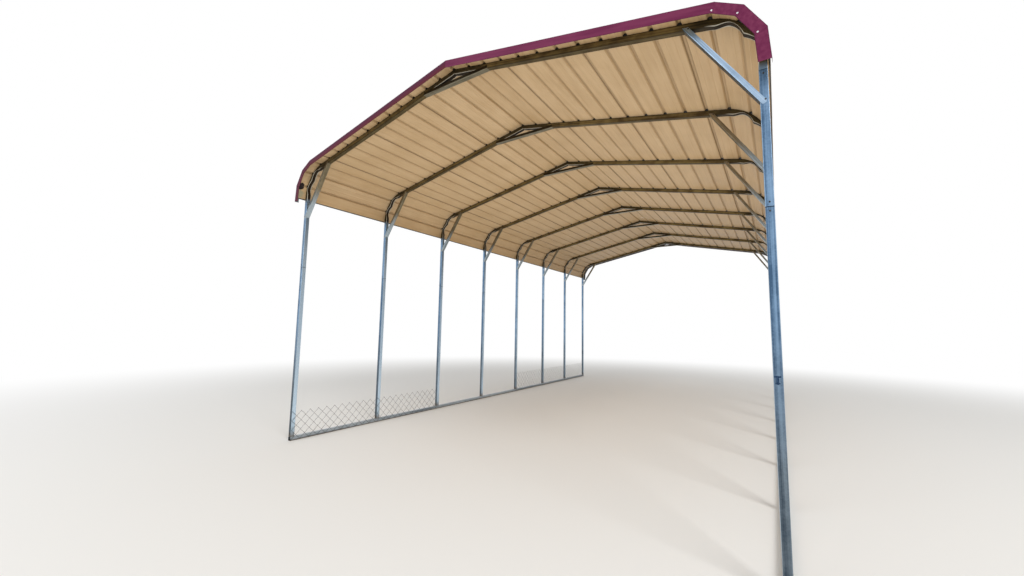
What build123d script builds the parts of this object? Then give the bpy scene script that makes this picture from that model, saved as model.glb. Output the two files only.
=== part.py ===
from build123d import *
import os
from math import atan, cos, degrees, pi, radians, sin, tan

# An open carport: bent tube bows on posts, under ribbed roof sheets that run lengthwise.
# Millimetres. X across, Y along the ridge, Z up, origin on the ground under the middle of the ridge.

os.makedirs("parts", exist_ok=True)

# Frame
frame_width = 6096          # over the outside of the posts
frame_length = 10668        # over the outside of the end posts
peak_height = 4700          # top of a bow at the ridge
roof_pitch = 2.5 / 12
bow_count = 8
tube = 57
tube_wall = 2
tube_corner = 3             # cut off the corners of posts and rails, where the real ones are rounded
bend_radius = 470           # centreline of a bow's eave bend
bow_leg = 60                # straight below the eave bend, down to the post
upper_post = 1023           # the shorter of a post's two lengths, on top of the other
seam = 0.3                  # left between pieces that meet

# Crushed inner wall of the bow's bends
crush_depth = 38            # how far the inner wall of the eave bend is pressed in
crush_ridge = 4             # how far it stays in between the two presses
crush_angles = (35, 71)     # from the vertical, at the deepest point of each press
crush_margin = 14           # degrees from there to where the wall is round again
peak_crush = 6              # at the ridge
peak_crush_half = 60

# Channel braces
brace_wall = 2
brace_depth = 38
knee_length = 914           # along the web, from post to bow
knee_angle = 57             # above the horizontal
knee_post_lap = 30          # flange past the web, over the post
knee_bow_lap = 20           # flange past the web, over the bow
knee_tip_cut = 12           # cut off the corners of the flange's low end
peak_brace_length = 976

# Roof sheets
sheet = 1
rib_pitch = 228.6
rib_height = 19
rib_base = 46
rib_top = 18
roof_overhang = 152         # past the outside of the end bows
eave_lip = 25               # eave sheet straight below the bend
lap_slack = 1               # each side, between lapped ribs
lap_drip = 3                # lapping edge above the sheet beneath
sheet_ribs = 4              # rib pitches that a full sheet covers

# Gable trim
trim_wall = 1
trim_depth = 85
trim_flange = 60
trim_leg = 82               # its end below the start of the eave sheet's lip
trim_facets = (30, 59, 86)  # directions of the three facets round the eave, below the horizontal

# Worked out
half_width = frame_width / 2
half_length = frame_length / 2
post_x = half_width - tube / 2
bow_spacing = (frame_length - tube) / (bow_count - 1)
bow_places = [-half_length + tube / 2 + k * bow_spacing for k in range(bow_count)]
pitch_angle = atan(roof_pitch)
bend_outer = bend_radius + tube / 2
bend_inner = bend_radius - tube / 2
bend_x = half_width - bend_outer
bend_z = peak_height - roof_pitch * bend_x - bend_outer / cos(pitch_angle)
post_top = bend_z - bow_leg
post_splice = post_top - upper_post
slope_run = (bend_x + bend_outer * sin(pitch_angle)) / cos(pitch_angle)
bend_run = (pi / 2 - pitch_angle) * bend_outer
eave_run = slope_run + bend_run + eave_lip
roof_end = half_length + roof_overhang


def save(block, name):
    """Label a finished piece and write it."""
    block.part.label = name
    export_step(block.part, f"parts/{name}.step")


def roof_point(run, height):
    """The point that far along a bow's top line from the ridge, and that high above it."""
    side = -1 if run < 0 else 1
    run = abs(run)
    if run <= slope_run:
        x = run * cos(pitch_angle) + height * sin(pitch_angle)
        z = peak_height - run * sin(pitch_angle) + height * cos(pitch_angle)
    elif run <= slope_run + bend_run:
        angle = pitch_angle + (run - slope_run) / bend_outer
        x = bend_x + (bend_outer + height) * sin(angle)
        z = bend_z + (bend_outer + height) * cos(angle)
    else:
        x = half_width + height
        z = bend_z - (run - slope_run - bend_run)
    return (side * x, z)


def roof_edges(stations):
    """Draw the line through the stations: straight on the slope and the lip, an arc on the bend."""
    turns = [side * run for side in (-1, 1) for run in (slope_run, slope_run + bend_run)]
    for (run_a, height_a), (run_b, height_b) in zip(stations, stations[1:]):
        if height_a != height_b:
            Line(roof_point(run_a, height_a), roof_point(run_b, height_b))
            continue
        low, high = min(run_a, run_b), max(run_a, run_b)
        runs = sorted([low, high] + [turn for turn in turns if low < turn < high], reverse=run_a > run_b)
        for start, end in zip(runs, runs[1:]):
            middle = (start + end) / 2
            ends = (roof_point(start, height_a), roof_point(end, height_a))
            if slope_run < abs(middle) < slope_run + bend_run:
                ThreePointArc(ends[0], roof_point(middle, height_a), ends[1])
            else:
                Line(*ends)


def bend_point(angle, radius):
    """A point on a circle about the eave bend's centre, by its angle from the vertical."""
    return (bend_x + radius * sin(radians(angle)), bend_z + radius * cos(radians(angle)))


def bow_outline(inset):
    """A bow's outline seen from the front, set in from its faces by the inset and let out at its feet."""
    outer = half_width - inset
    inner = half_width - tube + inset
    foot = post_top + seam - inset
    top = peak_height - inset / cos(pitch_angle)
    under = peak_height - (tube - inset) / cos(pitch_angle)
    slope_angle = degrees(pitch_angle)
    first, second = crush_angles
    radius = bend_inner + inset
    start = bend_point(slope_angle, bend_outer - inset)
    before = bend_point(first - crush_margin, radius)
    ridge = bend_point((first + second) / 2, radius + crush_ridge)
    after = bend_point(second + crush_margin, radius)
    with BuildLine() as outline:
        Line((0, top), start)
        RadiusArc(start, (outer, bend_z), bend_outer - inset)
        Polyline((outer, bend_z), (outer, foot), (inner, foot), (inner, bend_z))
        RadiusArc((inner, bend_z), after, -radius)
        ThreePointArc(after, bend_point(second, radius + crush_depth), ridge)
        ThreePointArc(ridge, bend_point(first, radius + crush_depth), before)
        RadiusArc(before, bend_point(slope_angle, radius), -radius)
        Line(bend_point(slope_angle, radius), (peak_crush_half, under - roof_pitch * peak_crush_half))
        TangentArc(
            (0, under + peak_crush), (peak_crush_half, under - roof_pitch * peak_crush_half), tangent=(1, 0)
        )
        mirror(about=Plane.YZ)
    return outline.edges()


# Base rails
for side, sign in (("left", -1), ("right", 1)):
    with BuildPart() as base_rail:
        with BuildSketch(Plane.XZ.offset(-half_length)) as section:
            with Locations((sign * post_x, tube / 2)):
                Rectangle(tube, tube)
            chamfer(section.vertices(), tube_corner)
            with Locations((sign * post_x, tube / 2)):
                Rectangle(tube - 2 * tube_wall, tube - 2 * tube_wall, mode=Mode.SUBTRACT)
        extrude(amount=frame_length)
    save(base_rail, f"base_rail_{side}")

# Posts: each is two lengths of tube that meet at the splice
for number, place in enumerate(bow_places, 1):
    with BuildPart() as posts:
        for foot, head in ((tube + seam, post_splice), (post_splice + seam, post_top)):
            with BuildSketch(Plane.XY.offset(foot)) as section:
                with Locations((-post_x, place), (post_x, place)):
                    Rectangle(tube, tube)
                chamfer(section.vertices(), tube_corner)
                with Locations((-post_x, place), (post_x, place)):
                    Rectangle(tube - 2 * tube_wall, tube - 2 * tube_wall, mode=Mode.SUBTRACT)
            extrude(amount=head - foot)
    save(posts, f"posts_{number}")

# Bows: one square tube each, bent at both eaves and at the ridge, its inner wall crushed at the bends
bow_outside = bow_outline(0)
bow_inside = bow_outline(tube_wall)
for number, place in enumerate(bow_places, 1):
    with BuildPart() as bow:
        with BuildSketch(Plane.XZ.offset(-place)):
            make_face(bow_outside)
        extrude(amount=tube / 2, both=True)
        with BuildSketch(Plane.XZ.offset(-place)):
            make_face(bow_inside)
        extrude(amount=tube / 2 - tube_wall, both=True, mode=Mode.SUBTRACT)
    save(bow, f"bow_{number}")

# Knee braces: channels that lap the front and back of the post and the bow, web on the inner side
knee_rise = radians(knee_angle)
knee_cut = knee_rise - pitch_angle                    # between a knee brace and the bow
web_gap = tube / 2 + seam                             # from a bow's middle to the inside of a flange
inner_face = half_width - tube
knee_head_x = inner_face - knee_length * cos(knee_rise)
knee_head_z = peak_height - tube / cos(pitch_angle) - roof_pitch * knee_head_x
knee_foot_z = knee_head_z - knee_length * sin(knee_rise)
flange_foot = knee_tip_cut - knee_post_lap            # where the flange's low end begins to narrow
flange_head = knee_length + knee_bow_lap / sin(knee_cut)
web_foot = seam / cos(knee_rise)
web_head = knee_length - seam / sin(knee_cut)
for number, place in enumerate(bow_places, 1):
    knee_plane = Plane(
        origin=(inner_face, place, knee_foot_z),
        x_dir=(-cos(knee_rise), 0, sin(knee_rise)),
        z_dir=(0, 1, 0),
    )
    with BuildPart() as knee_braces:
        for face in (-web_gap - brace_wall, web_gap):
            with BuildSketch(knee_plane.offset(face)):
                with BuildLine():
                    Polyline(
                        (flange_foot, 0),
                        (flange_head, 0),
                        (flange_head - brace_depth / tan(knee_cut), brace_depth),
                        (flange_foot, brace_depth),
                        (-knee_post_lap, brace_depth - knee_tip_cut),
                        (-knee_post_lap, knee_tip_cut),
                        close=True,
                    )
                make_face()
            extrude(amount=brace_wall)
        with BuildSketch(knee_plane):
            with BuildLine():
                Polyline(
                    (web_foot, 0),
                    (web_head, 0),
                    (web_head - brace_wall / tan(knee_cut), brace_wall),
                    (web_foot + brace_wall * tan(knee_rise), brace_wall),
                    close=True,
                )
            make_face()
        extrude(amount=web_gap, both=True)
        mirror(about=Plane.YZ)
    save(knee_braces, f"knee_braces_{number}")

# Peak braces: level channels under the ridge, open at the top, that lap both sides of the bow
peak_web_x = peak_brace_length / 2
peak_web_z = peak_height - tube / cos(pitch_angle) - roof_pitch * peak_web_x - seam
with BuildPart() as peak_braces:
    for place in bow_places:
        with BuildSketch(Plane.YZ.offset(-peak_web_x)):
            with Locations((place, peak_web_z - brace_wall)):
                Rectangle(2 * (web_gap + brace_wall), brace_depth, align=(Align.CENTER, Align.MIN))
                with Locations((0, brace_wall)):
                    Rectangle(2 * web_gap, brace_depth, align=(Align.CENTER, Align.MIN), mode=Mode.SUBTRACT)
    extrude(amount=peak_brace_length)
save(peak_braces, "peak_braces")

# Roof sheets: each is one ribbed profile, drawn out along the roof
flank = atan(rib_height / ((rib_base - rib_top) / 2))
spread = sheet * tan(flank / 2)                       # how much wider the upper line of a rib is, each side
lap_height = rib_height + sheet + seam                # under the crest of a rib that laps another
last_rib = int((eave_run - rib_base / 2 - spread) / rib_pitch)
eave_lap = last_rib + 1 - sheet_ribs                  # ribs are counted from the ridge
ridge_lap = sheet_ribs - eave_lap % sheet_ribs
left_laps = range(ridge_lap, -eave_lap - 1, -sheet_ribs)
right_laps = [ridge_lap, *range(eave_lap, ridge_lap, -sheet_ribs)[::-1]]


def upper_line(under):
    """The upper stations of a sheet over its under ones, about a rib's middle."""
    return [(u + (spread if u > 0 else -spread), height + sheet) for u, height in under]


def place_lines(place, way, under, upper):
    """Move a rib's stations to its place on the roof, counted from the ridge."""
    return [[(place * rib_pitch + way * u, seam + height) for u, height in line] for line in (under, upper)]


def plain_rib(place, way):
    """Stations of the under and the upper line of a rib inside a sheet."""
    foot, crest = rib_base / 2, rib_top / 2
    under = [(-foot, 0), (-crest, rib_height), (crest, rib_height), (foot, 0)]
    return place_lines(place, way, under, upper_line(under))


def edge_rib(place, way, lapping):
    """Stations of a rib at a sheet's edge, from the edge inward: over the next sheet's rib or under it."""
    foot, crest = rib_base / 2, rib_top / 2
    if lapping:
        foot, crest = foot + spread + lap_slack, crest + spread + lap_slack
        edge = foot - (foot - crest) * (sheet + lap_drip) / lap_height
        under = [(-edge, sheet + lap_drip), (-crest, lap_height), (crest, lap_height), (foot, 0)]
    else:
        under = [(-(foot + crest) / 2, rib_height / 2), (-crest, rib_height), (crest, rib_height), (foot, 0)]
    upper = upper_line(under)
    upper[0] = (under[0][0] - sheet * sin(flank), under[0][1] + sheet * cos(flank))
    return place_lines(place, way, under, upper)


def save_sheet(lines, name):
    """Close the under and upper lines of a sheet, draw the face out along the roof and write the sheet."""
    under = [station for line in lines for station in line[0]]
    upper = [station for line in lines for station in line[1]]
    with BuildLine() as outline:
        roof_edges(under + upper[::-1] + under[:1])
    with BuildPart() as roof_sheet:
        with BuildSketch(Plane.XZ.offset(-roof_end)):
            make_face(outline.edges())
        extrude(amount=2 * roof_end)
    save(roof_sheet, name)


def sheet_between(first, last, first_lapping, last_lapping, name):
    """A sheet from one lap rib to another."""
    way = 1 if last > first else -1
    lines = [edge_rib(first, way, first_lapping)]
    lines += [plain_rib(place, way) for place in range(first + way, last, way)]
    lines.append([line[::-1] for line in edge_rib(last, -way, last_lapping)])
    save_sheet(lines, name)


# Full sheets are laid from both eaves; the one over the ridge laps its neighbours, and the next is cut to fit
sheet_between(left_laps[1], left_laps[0], True, True, "ridge_sheet")
for side, way, laps in (("left", -1, left_laps[1:]), ("right", 1, right_laps)):
    for order, (upper_lap, lower_lap) in enumerate(zip(laps, laps[1:]), 1):
        sheet_between(upper_lap, lower_lap, False, True, f"roof_sheet_{side}_{order}")
    eave_lines = [edge_rib(way * eave_lap, way, False)]
    eave_lines += [plain_rib(way * place, way) for place in range(eave_lap + 1, last_rib + 1)]
    eave_lines.append([[(way * eave_run, seam)], [(way * eave_run, seam + sheet)]])
    save_sheet(eave_lines, f"eave_sheet_{side}")

# Gable trim: an angle over the sheets' ends, bent in facets round each eave
trim_seat = seam + lap_height + sheet + seam
trim_front = roof_end + seam


def trim_line(height):
    """Corners of the trim from the ridge to its end, that high above the bow's top line."""
    directions = [degrees(pitch_angle), *trim_facets]
    line = [(seam / 2, peak_height + height / cos(pitch_angle) - roof_pitch * seam / 2)]
    for before, after in zip(directions, directions[1:]):
        reach = (bend_outer + height) / cos(radians((after - before) / 2))
        line.append(bend_point((before + after) / 2, reach))
    x, z = line[-1]
    end = bend_z - trim_leg
    return line + [(x + (z - end) / tan(radians(directions[-1])), end)]


def trim_outline(depth):
    """Corners of the face between the trim's outer line and one that much deeper."""
    return trim_line(trim_seat + trim_wall) + trim_line(trim_seat + trim_wall - depth)[::-1]


for end, out in (("front", 1), ("back", -1)):
    for side, way in (("left", -1), ("right", 1)):
        with BuildPart() as gable_trim:
            with BuildSketch(Plane.XZ.offset(out * trim_front)):
                with BuildLine():
                    Polyline(*[(way * x, z) for x, z in trim_outline(trim_depth)], close=True)
                make_face()
            extrude(amount=out * trim_wall)
            with BuildSketch(Plane.XZ.offset(out * (trim_front + trim_wall))):
                with BuildLine():
                    Polyline(*[(way * x, z) for x, z in trim_outline(trim_wall)], close=True)
                make_face()
            extrude(amount=-out * trim_flange)
        save(gable_trim, f"gable_trim_{end}_{side}")
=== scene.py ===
from math import atan, cos, degrees, pi, radians, sin, sqrt, tan

import bmesh
import bpy
from mathutils import Matrix, Vector, noise


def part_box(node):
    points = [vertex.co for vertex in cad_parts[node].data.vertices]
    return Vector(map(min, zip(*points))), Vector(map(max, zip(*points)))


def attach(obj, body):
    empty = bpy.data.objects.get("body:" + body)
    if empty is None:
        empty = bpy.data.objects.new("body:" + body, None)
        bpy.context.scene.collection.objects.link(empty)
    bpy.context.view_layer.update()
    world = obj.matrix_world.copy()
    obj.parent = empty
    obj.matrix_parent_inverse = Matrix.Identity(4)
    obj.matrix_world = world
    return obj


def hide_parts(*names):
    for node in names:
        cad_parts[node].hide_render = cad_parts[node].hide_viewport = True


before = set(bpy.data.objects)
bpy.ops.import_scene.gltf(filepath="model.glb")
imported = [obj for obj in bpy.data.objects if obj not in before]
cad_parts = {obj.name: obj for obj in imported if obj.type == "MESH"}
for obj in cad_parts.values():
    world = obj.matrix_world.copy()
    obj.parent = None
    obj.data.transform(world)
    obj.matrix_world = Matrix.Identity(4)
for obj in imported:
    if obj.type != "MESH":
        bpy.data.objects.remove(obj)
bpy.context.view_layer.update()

# An open carport: galvanised tube bows on posts, braced with channel, under a tan ribbed sheet roof with
# burgundy gable trim. Metres. X across, Y along the ridge, Z up, origin on the ground under the ridge.

# Read from the frame
post_low, post_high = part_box("posts_1")
half_width = post_high.x
tube = post_high.y - post_low.y
post_top = post_high.z
half_length, rail_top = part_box("base_rail_left")[1].yz
peak_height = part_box("bow_1")[1].z
roof_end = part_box("ridge_sheet")[1].y
eave_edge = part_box("eave_sheet_left")[0].z
gable_end = -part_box("gable_trim_front_right")[0].y
bow_count = sum(name.startswith("bow_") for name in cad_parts)
bow_places = [sum(corner.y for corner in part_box(f"posts_{k}")) / 2 for k in range(1, bow_count + 1)]

# Frame
roof_pitch = 2.5 / 12
tube_wall = 0.002
tube_corner = 0.004         # outside radius of a tube's corners
bend_radius = 0.470         # centreline of a bow's eave bend
upper_post = 1.023          # the shorter of a post's two lengths, on top of the other
seam = 0.0003               # between pieces that meet

# Crushed inner wall of the bows' bends
crush_depth = 0.038         # how far the inner wall is pressed in at the deepest point of each press
crush_ridge = 0.004         # how far it stays in between the two presses
crush_fold = 0.012          # how much further the middle of the wall goes than its corners
crush_bulge = 0.0015        # how far each side wall stands out there
crush_angles = (35, 71)     # from the vertical, at the deepest point of each press
crush_margin = 14           # degrees from there to where the wall is round again
peak_round = 0.040          # from the ridge to where a bow's top is straight
peak_crush = 0.006
bend_steps = 52             # stations round an eave bend
peak_steps = 6

# Channel braces
brace_wall = 0.002
brace_corner = 0.004
brace_depth = 0.038
brace_run = 0.008           # between points across its section
knee_length = 0.914
knee_angle = 57             # above the horizontal
knee_post_lap = 0.030
knee_bow_lap = 0.020
knee_tip_radius = 0.012
peak_brace_half = 0.488

# Roof sheets
sheet = 0.001
sheet_ribs = 4              # rib pitches that a full sheet covers
rib_pitch = 0.2286
rib_height = 0.019
rib_base = 0.046
rib_top = 0.018
rib_radius = 0.004
bead_spread = 0.038         # from a pan's middle to each of its two stiffening beads
bead_base = 0.018
bead_top = 0.008
bead_height = 0.002
lap_slack = 0.001
lap_drip = 0.003
sheet_wave = 0.0012         # how far a pan lifts off its line between two bows
sheet_step = 0.25           # between stations along a sheet
pan_run = 0.03              # between points across it
lip_flare = 0.008           # how far a sheet's lower edge has sprung out from the posts
lip_run = 0.15              # from where that starts to the edge
lip_turn = 0.010            # how far the last strip is turned out
lip_strip = 0.013

# Gable trim
trim_wall = 0.001
trim_depth = 0.085
trim_flange = 0.060
trim_leg = 0.082            # its end below the start of the eave sheet's lip
trim_facets = (30, 59, 86)  # directions of the three facets round the eave, below the horizontal
trim_fold = 0.001           # radius of its folds
trim_hem = 0.010
hem_gap = 0.0022            # from the face to the hem folded back behind it
trim_flap = 0.022           # how far each part's face laps the next one's, at its lower edge
trim_length = 2.6           # of an unbent part, as its finish takes it

# Screws
washer_radius = 0.0065
washer_height = 0.0012
head_across = 0.007
head_height = 0.0045
screw_slack = 0.0002        # between a trim screw's head and the end of the carport
screw_edge = 0.02           # strip along the sheets' lower edges without screws
screw_run = 0.036           # from a rib's middle to the screws in the pan beside it

# Woven mesh
mesh_pitch = 0.135          # diagonal of a diamond whose sides are 95 mm
mesh_wire = 0.004           # diameter
mesh_foot = 0.012           # height of its lowest knuckles
mesh_slack = 0.004          # from its ends to the front faces of the posts
mesh_rows = {1: 6, 2: 6, 5: 7, 6: 7, 7: 7}      # half diamonds high, in those bays of the left side

# Clip on the front right post
clip_top = 1.412
clip_thick = 0.002
clip_sunk = 0.0005          # into the post
clip_left = 0.004           # of the post's middle

# Marks under the roof: how far round from the ridge to the right, the place along it, and how far they reach
mud_run, mud_place = -3.216, -5.428
mud_wide, mud_long, mud_high = 0.052, 0.040, 0.030      # its reach round the roof, along it and down
pale_marks = ((-3.335, -5.430, 0.06), (0.173, 1.851, 0.035), (0.247, 3.135, 0.04))

# Bows and posts, worked out
pitch_angle = atan(roof_pitch)
bend_outer = bend_radius + tube / 2
bend_x = half_width - bend_outer
bend_z = peak_height - roof_pitch * bend_x - bend_outer / cos(pitch_angle)
slope_run = (bend_x + bend_outer * sin(pitch_angle)) / cos(pitch_angle)
bend_run = (pi / 2 - pitch_angle) * bend_outer
eave_run = slope_run + bend_run + bend_z - eave_edge
post_x = half_width - tube / 2
post_face = half_width - tube
post_splice = post_top - upper_post
bow_spacing = bow_places[1] - bow_places[0]
x_way, y_way, z_way = Vector((1, 0, 0)), Vector((0, 1, 0)), Vector((0, 0, 1))

# Braces, worked out
brace_half = tube / 2 + seam + brace_wall       # from its middle to the outside of a flange
knee_rise = radians(knee_angle)
knee_cut = knee_rise - pitch_angle
knee_head_x = post_face - knee_length * cos(knee_rise)
knee_head_z = peak_height - tube / cos(pitch_angle) - roof_pitch * knee_head_x
knee_foot_z = knee_head_z - knee_length * sin(knee_rise)
peak_brace_z = peak_height - tube / cos(pitch_angle) - roof_pitch * peak_brace_half - seam - brace_wall

# Sheets and trim, worked out. Ribs and laps are counted from the ridge, those on the left below zero
flank = atan(rib_height / ((rib_base - rib_top) / 2))
spread = sheet * tan(flank / 2)                 # how much wider a rib is on its upper side, each way
lap_height = rib_height + sheet + seam
last_rib = int((eave_run - rib_base / 2 - spread) / rib_pitch)
eave_lap = last_rib + 1 - sheet_ribs
ridge_lap = sheet_ribs - eave_lap % sheet_ribs
left_laps = range(ridge_lap, -eave_lap - 1, -sheet_ribs)
right_laps = [ridge_lap, *range(eave_lap, ridge_lap, -sheet_ribs)[::-1]]
trim_parts = len(trim_facets) + 1
trim_top = seam + lap_height + sheet + seam + trim_wall
trim_face = gable_end - washer_height - head_height - screw_slack
sheet_end = trim_face - trim_parts * trim_wall - seam


def linear(colour):
    """An sRGB hex colour as the linear one that a shader takes."""
    channels = [int(colour[i : i + 2], 16) / 255 for i in (1, 3, 5)]
    return [c / 12.92 if c <= 0.04045 else ((c + 0.055) / 1.055) ** 2.4 for c in channels] + [1]


def connect(tree, node, inputs):
    """Set a node's inputs, each to a value, or to a link from a socket or a node's first output in use."""
    for key, value in inputs.items():
        if isinstance(value, bpy.types.Node):
            value = next(output for output in value.outputs if output.enabled)
        if isinstance(value, bpy.types.NodeSocket):
            tree.links.new(value, node.inputs[key])
        else:
            node.inputs[key].default_value = value


def add(tree, kind, inputs=None, **settings):
    """Add a shader node with its settings and inputs. Map Range takes a value, the two ends of its range and
    what they become. Mix takes the share of the second colour at 0, and the two colours at 6 and 7."""
    node = tree.nodes.new("ShaderNode" + kind)
    for key, value in settings.items():
        setattr(node, key, value)
    connect(tree, node, inputs or {})
    return node


def finish_named(name):
    """A new material with its node tree, its shader and the place of each point on the unbent piece, shifted
    so that no two pieces are alike."""
    finish = bpy.data.materials.new(name)
    finish.use_nodes = True
    tree = finish.node_tree
    place = add(tree, "Attribute", attribute_name="own_place").outputs["Vector"]
    return finish, tree, tree.nodes["Principled BSDF"], place


def unbent_place(tree):
    """The place of each point on the unbent piece: X across its section, Y up it, Z along the piece."""
    unbent = add(tree, "Attribute", attribute_name="unbent")
    return add(tree, "SeparateXYZ", {0: unbent.outputs["Vector"]}).outputs


def streaked(tree, place, width, share, detail):
    """Noise drawn out into streaks of that width, by counting only that share of the way along the piece."""
    drawn_out = add(tree, "Mapping", {"Vector": place, "Scale": (1, 1, share)})
    return add(tree, "TexNoise", {"Vector": drawn_out, "Scale": 1 / width, "Detail": detail})


def toned(tree, pattern, start, end, first, second):
    """The colour that goes from the first to the second as the pattern goes from start to end."""
    share = add(tree, "MapRange", {0: pattern, 1: start, 2: end})
    return add(tree, "Mix", {0: share, 6: linear(first), 7: linear(second)}, data_type="RGBA")


def orange_peel(tree, place, strength):
    """The grain of rolled-on paint. It is about 1 mm, and drawn three times as coarse so that it shows."""
    peel = add(tree, "TexNoise", {"Vector": place, "Scale": 1 / 0.003, "Detail": 2})
    return add(tree, "Bump", {"Height": peel, "Strength": strength, "Distance": 0.0003})


def tube_finish(name, below, above, soil, seams=(), painted_sun_share=0):
    """Galvanised steel tube, rolled from zinc-coated strip: a dull blue-grey, with the small crystals of the
    zinc, long draw lines, and paler and darker streaks where rain has run. Its corners are lighter, partly
    rubbed bright and partly a painted highlight. Its dark and light shades are given for near the ground and
    for above; where the upper ones are bluer, that is painted reflection of the sky. Soil has dried on: the
    way it is measured on the unbent piece, where it is thick and where it ends. Dirt lies in the seams, at
    those heights. The side towards the middle of the carport is lightened by that share as painted
    sunlight, up to a painted edge of the roof's shadow."""
    finish, tree, shader, place = finish_named(name)
    unbent = unbent_place(tree)
    # Crystals of 9 mm, lines 16 mm apart and rain streaks 150 mm wide
    crystals = add(tree, "TexVoronoi", {"Vector": place, "Scale": 1 / 0.009})
    shade = add(tree, "SeparateColor", {0: crystals.outputs["Color"]})
    lines = streaked(tree, place, 0.016, 0.012, 4)
    patches = add(tree, "TexNoise", {"Vector": place, "Scale": 1 / 0.15, "Detail": 4})
    mottle = add(tree, "Math", {0: shade, 1: 0.1}, operation="MULTIPLY")
    for pattern, strength in ((lines, 1.5), (patches, 0.5)):
        mottle = add(tree, "Math", {0: pattern, 1: strength, 2: mottle}, operation="MULTIPLY_ADD")
    low, high = (toned(tree, mottle, 0.8, 1.3, *shades) for shades in (below, above))
    # The lower shades give way to the upper ones between 0.8 m and 1.8 m up; where the upper ones are bluer,
    # that is painted reflection of the sky
    risen = add(tree, "MapRange", {0: unbent["Z"], 1: 0.8, 2: 1.8})
    colour = add(tree, "Mix", {0: risen, 6: low, 7: high}, data_type="RGBA")
    layers = []
    # Painted sunlight on the side towards the middle, ending at a painted edge of the roof's shadow
    if painted_sun_share:
        # The shift of the place is below zero on the left side, so it tells which way the middle is
        side = add(tree, "SeparateXYZ", {0: place})
        side = add(tree, "MapRange", {0: side.outputs["X"], 1: -1, 2: 1, 3: 1, 4: -1})
        inward = add(tree, "Math", {0: side, 1: unbent["X"]}, operation="MULTIPLY")
        face = add(tree, "MapRange", {0: inward, 1: 0.0270, 2: 0.0282, 4: painted_sun_share})
        painted_sun_height = add(tree, "MapRange", {0: unbent["Z"], 1: 3.3, 2: 2.8})
        face = add(tree, "Math", {0: face, 1: painted_sun_height}, operation="MULTIPLY")
        layers.append((face, "#A6B9C8"))
    # Corners lighter, partly rubbed bright and partly a painted highlight
    beside_middle = add(tree, "Math", {0: unbent["X"]}, operation="ABSOLUTE")
    rubbed_and_highlit = add(tree, "MapRange", {0: beside_middle, 1: 0.0235, 2: 0.0265, 4: 0.2})
    layers.append((rubbed_and_highlit, "#B7C6D2"))
    for height in seams:
        in_seam = add(tree, "Math", {0: unbent["Z"], 1: height, 2: 0.003}, operation="COMPARE")
        layers.append((in_seam, "#171A1D"))
    way, thick, ends = soil
    soiled = add(tree, "MapRange", {0: unbent[way], 1: ends, 2: thick, 4: 0.8})
    layers.append((soiled, "#6E5C46"))
    for share, shade in layers:
        colour = add(tree, "Mix", {0: share, 6: colour, 7: linear(shade)}, data_type="RGBA")
    rough = add(tree, "MapRange", {0: mottle, 1: 0.8, 2: 1.3, 3: 0.48, 4: 0.34})
    bump = add(tree, "Bump", {"Height": lines, "Strength": 0.3, "Distance": 0.0006})
    connect(tree, shader, {"Base Color": colour, "Roughness": rough, "Normal": bump, "Metallic": 1})
    return finish


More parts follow.
